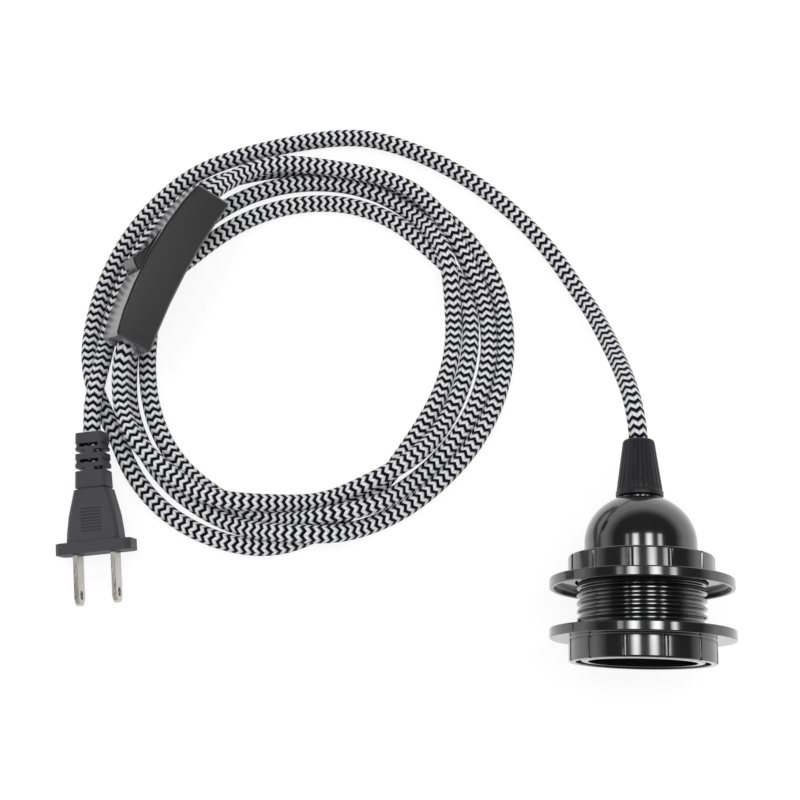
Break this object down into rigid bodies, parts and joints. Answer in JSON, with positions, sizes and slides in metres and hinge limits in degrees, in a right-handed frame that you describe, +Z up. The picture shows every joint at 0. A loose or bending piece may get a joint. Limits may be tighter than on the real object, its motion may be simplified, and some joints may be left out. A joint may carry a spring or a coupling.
{
  "type": "pendant lamp cord set",
  "caption": "Lamp holder with a threaded sleeve and shade rings on a coiled zigzag-braided cord, with an inline rocker switch and a flat-blade plug.",
  "frame": {"origin": "under the middle of the lamp holder as it lies on its two shade rings, on the plane it lies on", "axes": "+Y along the holder's axis towards its cord end, +Z up from the plane on which the set lies"},
  "size_m": [0.218, 0.1946, 0.0571],
  "materials": {
    "phenolic": "polished moulding",
    "dark_nylon": "moulded, fine matt",
    "porcelain": "glazed ceramic",
    "nickel": "nickel plated, satin",
    "brass": "as pressed",
    "steel": "zinc plated",
    "switch_plastic": "moulded, fine matt",
    "glossy_plastic": "polished moulding",
    "plug_vinyl": "moulded vinyl, satin",
    "white_wire": "wire insulation",
    "black_wire": "wire insulation",
    "cord_braid": "woven in black and white zigzags"
  },
  "bodies": {
    "set": {"threaded_sleeve": "phenolic", "dome_cap": "phenolic", "cord_grip_nut": "dark_nylon", "grip_collet": "dark_nylon", "socket_insert": "porcelain", "screw_shell": "nickel", "plug_blade_left": "nickel", "plug_blade_right": "nickel", "centre_contact": "brass", "shell_terminal": "brass", "centre_terminal": "brass", "fulcrum_terminal": "brass", "fixed_contact": "brass", "neutral_link": "brass", "nipple_locknut": "steel", "threaded_nipple": "steel", "shell_terminal_screw": "steel", "centre_terminal_screw": "steel", "rocker_pin": "steel", "housing_screw_1": "steel", "housing_screw_2": "steel", "switch_cover": "switch_plastic", "switch_base": "switch_plastic", "plug_body": "plug_vinyl", "shell_conductor": "white_wire", "centre_conductor": "black_wire", "holder_cord_end": "cord_braid", "switch_cord_end_in": "cord_braid", "switch_cord_end_out": "cord_braid", "plug_cord_end": "cord_braid", "cord_from_holder": "cord_braid", "cord_into_switch": "cord_braid", "cord_out_of_switch": "cord_braid", "cord_to_plug": "cord_braid", "cord_coil": "cord_braid"},
    "lower_shade_ring": {"lower_shade_ring": "phenolic"},
    "upper_shade_ring": {"upper_shade_ring": "phenolic"},
    "rocker": {"switch_rocker": "glossy_plastic", "rocker_plunger": "brass", "plunger_spring": "steel"},
    "bridge": {"contact_bridge": "brass"}
  },
  "joints": [
    {"name": "lower_ring_slide", "type": "slide", "parent": "set", "child": "lower_shade_ring", "axis": [0, 1, 0], "range_m": [-0.008, 0.0055]},
    {"name": "upper_ring_slide", "type": "slide", "parent": "set", "child": "upper_shade_ring", "axis": [0, 1, 0], "range_m": [-0.0055, 0]},
    {"name": "rocker_press", "type": "hinge", "parent": "set", "child": "rocker", "pos_m": [-0.16345, 0.09606, 0.0214], "axis": [0.4621, -0.1909, 0.866], "range_deg": [0, 29.6]},
    {"name": "bridge_tilt", "type": "hinge", "parent": "set", "child": "bridge", "pos_m": [-0.15849, 0.09401, 0.0183], "axis": [-0.4621, 0.1909, -0.866], "range_deg": [0, 12]}
  ],
  "couplings": [
    {"joint": "bridge_tilt", "follows": "rocker_press", "ratio": 0.4054}
  ]
}
